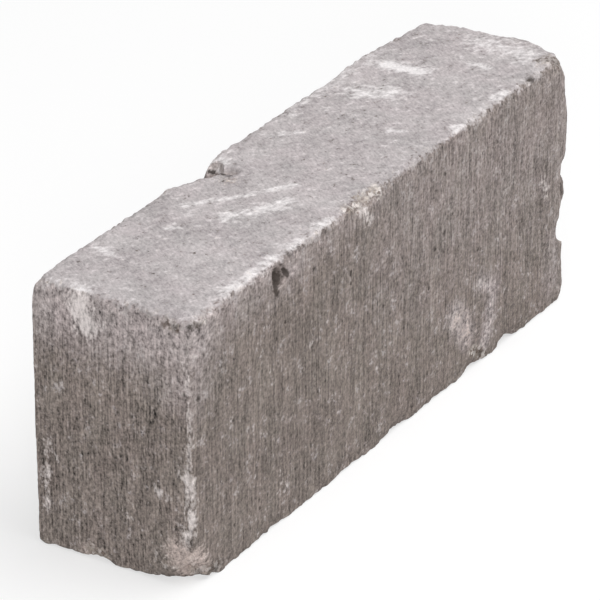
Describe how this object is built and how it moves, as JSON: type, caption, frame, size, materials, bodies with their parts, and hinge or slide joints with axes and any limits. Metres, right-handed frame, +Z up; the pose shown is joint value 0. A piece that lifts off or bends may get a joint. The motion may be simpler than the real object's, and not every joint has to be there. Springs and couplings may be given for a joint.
{
  "type": "tumbled paving stone",
  "caption": "Slim rectangular concrete paving stone with worn, chipped arrises and broken corners, laid on its bed for paths, terraces and drives.",
  "frame": {"origin": "centre of the bed face, on the surface that the stone stands on", "axes": "+Z up out of the face that is walked on, +X along the stone's length, +Y across its width"},
  "size_m": [0.2, 0.05, 0.08],
  "materials": {
    "tumbled_concrete": "rough matt grey concrete with pale scuffs"
  },
  "bodies": {
    "root": {"paving_stone": "tumbled_concrete"}
  },
  "joints": []
}
